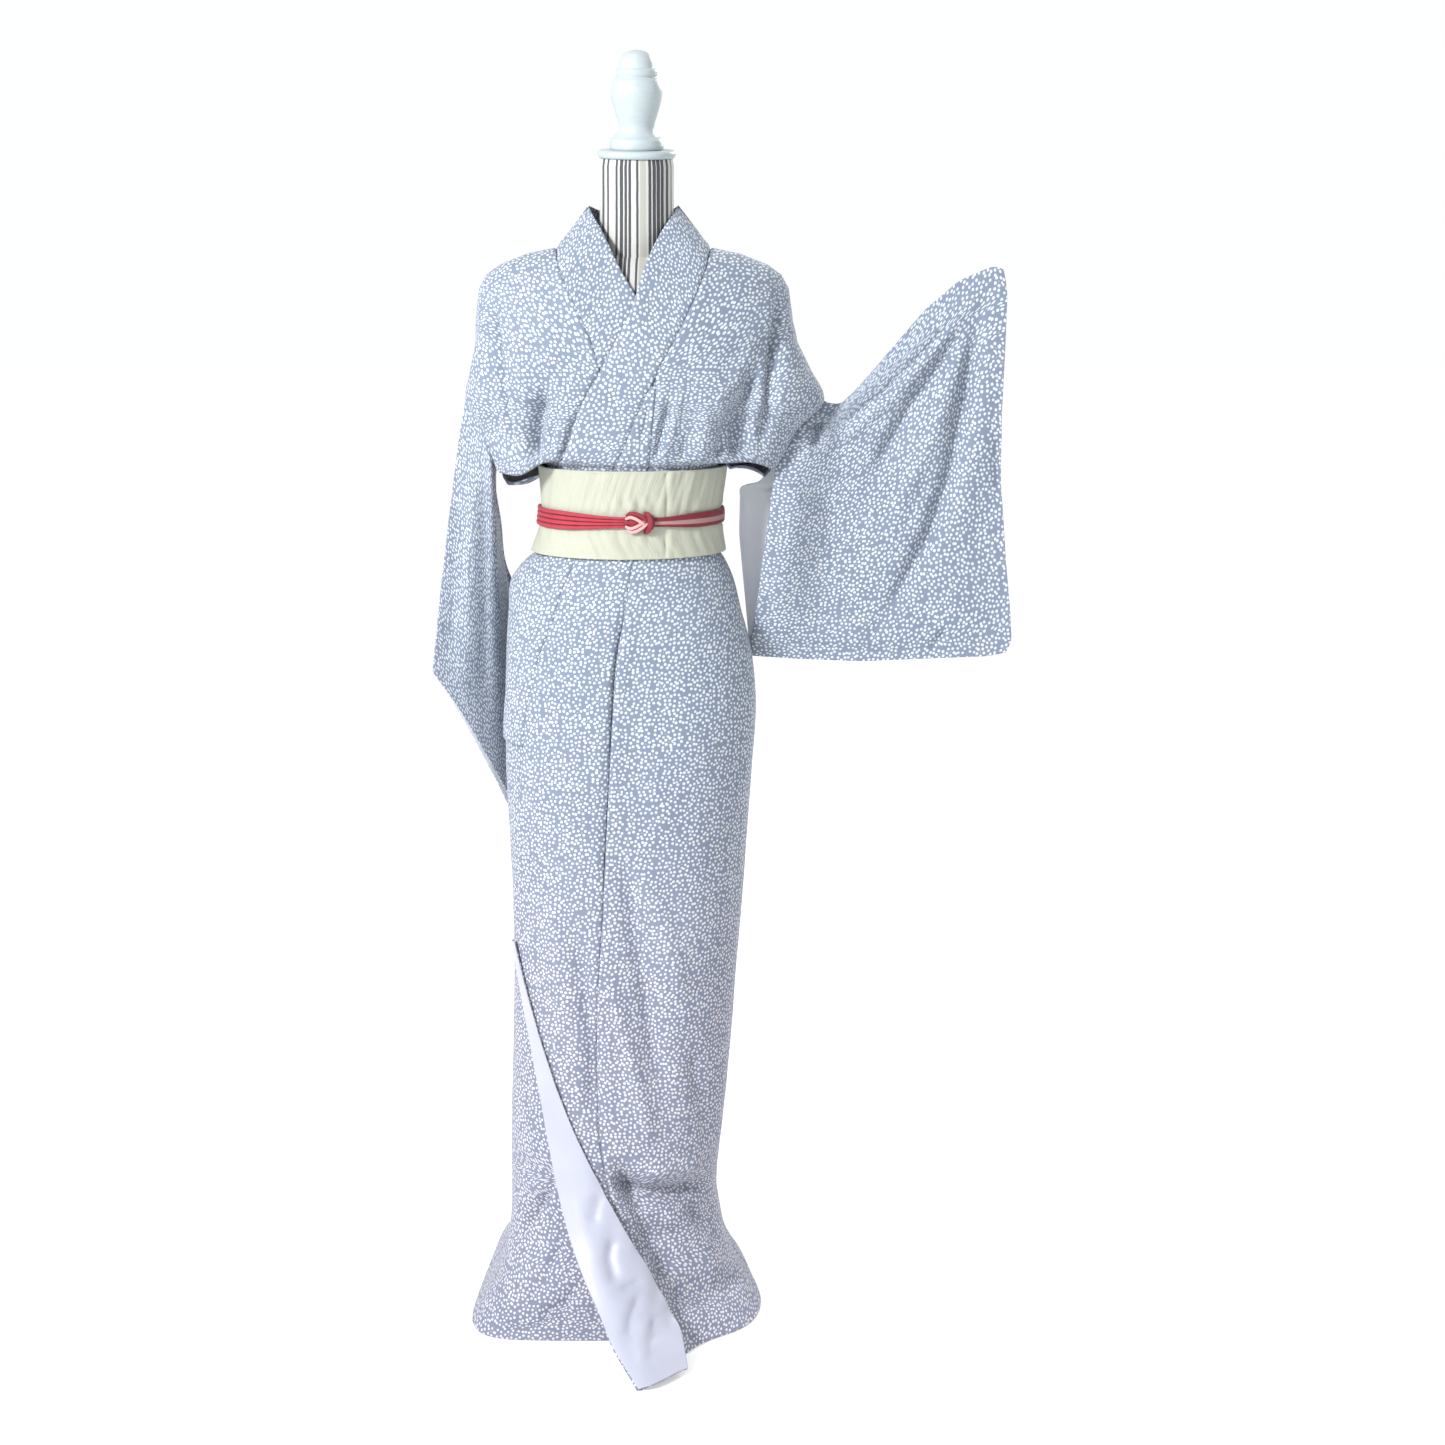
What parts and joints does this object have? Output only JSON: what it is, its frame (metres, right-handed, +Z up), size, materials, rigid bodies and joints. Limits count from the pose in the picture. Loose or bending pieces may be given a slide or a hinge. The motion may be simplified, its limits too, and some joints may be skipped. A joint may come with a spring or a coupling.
{
  "type": "kimono on dress form",
  "caption": "Lined silk kimono worn left over right on a limbless dress form with a turned finial, belted with an obi and a braided cord, one long sleeve spread and one hanging.",
  "frame": {"origin": "centre of the underside of the stand's foot, on the floor", "axes": "+Z up along the stand's pole, -Y the way that the front of the kimono faces, +X towards the wearer's left, where the spread sleeve is"},
  "size_m": [0.7904, 0.5474, 1.6998],
  "materials": {
    "blossom_crepe": "matt silk crepe, small dotted blossoms on grey blue",
    "hakkake_lining": "smooth pale lavender silk",
    "sleeve_lining": "smooth grey blue silk",
    "obi_crepe": "pale green white crepe",
    "red_cord": "braided silk",
    "striped_ticking": "cream cotton with thin dark stripes",
    "painted_wood": "pale grey paint, satin",
    "painted_steel": "grey paint"
  },
  "bodies": {
    "root": {"back_collar": "blossom_crepe", "cord_back": "red_cord", "cord_knot": "red_cord", "cord_right": "red_cord", "cord_strand_1": "red_cord", "cord_strand_2": "red_cord", "cord_strand_3": "red_cord", "cord_strand_4": "red_cord", "form_finial": "painted_wood", "form_foot": "painted_wood", "form_neck_disc": "painted_wood", "form_pole": "painted_steel", "form_torso": "striped_ticking", "hakkake_lining": "hakkake_lining", "left_body_back": "blossom_crepe", "left_body_front": "blossom_crepe", "left_collar": "blossom_crepe", "left_okumi": "blossom_crepe", "left_okumi_turned": "blossom_crepe", "left_skirt_back": "blossom_crepe", "left_skirt_front": "blossom_crepe", "left_sleeve_back": "blossom_crepe", "left_sleeve_front": "blossom_crepe", "left_sleeve_lining": "sleeve_lining", "obi": "obi_crepe", "right_body_back": "blossom_crepe", "right_body_front": "blossom_crepe", "right_collar": "blossom_crepe", "right_okumi": "blossom_crepe", "right_skirt_back": "blossom_crepe", "right_skirt_front": "blossom_crepe", "right_sleeve_back": "blossom_crepe", "right_sleeve_front": "blossom_crepe"}
  },
  "joints": []
}
